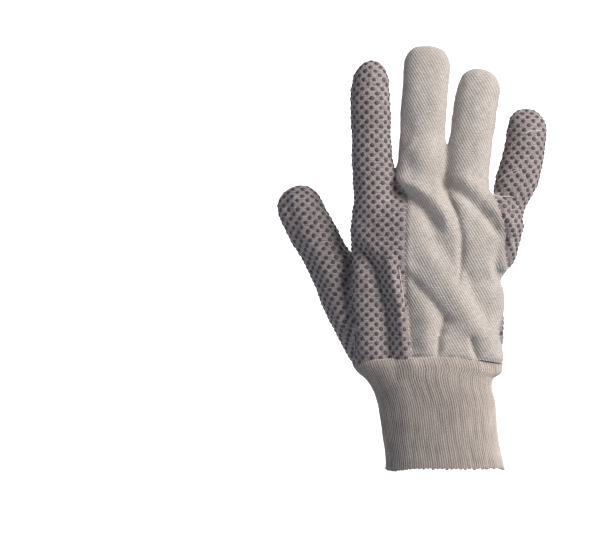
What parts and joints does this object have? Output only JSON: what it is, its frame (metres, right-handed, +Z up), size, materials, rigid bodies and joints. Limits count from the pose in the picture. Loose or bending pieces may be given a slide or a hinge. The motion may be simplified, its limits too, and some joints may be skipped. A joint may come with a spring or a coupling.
{
  "type": "cotton work glove",
  "caption": "Cotton drill work glove for the right hand in its worn form, fingers up: palm, index and little finger and thumb in dotted cloth, plain back, ribbed knit wrist.",
  "frame": {"origin": "middle of the wrist opening, at the lower edge of the knit cuff", "axes": "+Z up along the glove to the fingertips, -Y towards the back of the hand, +Y towards the palm, -X towards the thumb"},
  "size_m": [0.1697, 0.0565, 0.2646],
  "materials": {
    "dotted_cotton": "matt cotton drill with raised grip dots",
    "drill_cotton": "matt unbleached cotton drill",
    "rib_knit": "matt ribbed cotton knit",
    "grip_dots": "satin soft vinyl",
    "sewing_thread": "matt cotton thread"
  },
  "bodies": {
    "root": {"palm_panel": "dotted_cotton", "back_panel": "drill_cotton", "thumb_back": "dotted_cotton", "thumb_tongue": "dotted_cotton", "knit_cuff": "rib_knit"}
  },
  "joints": []
}
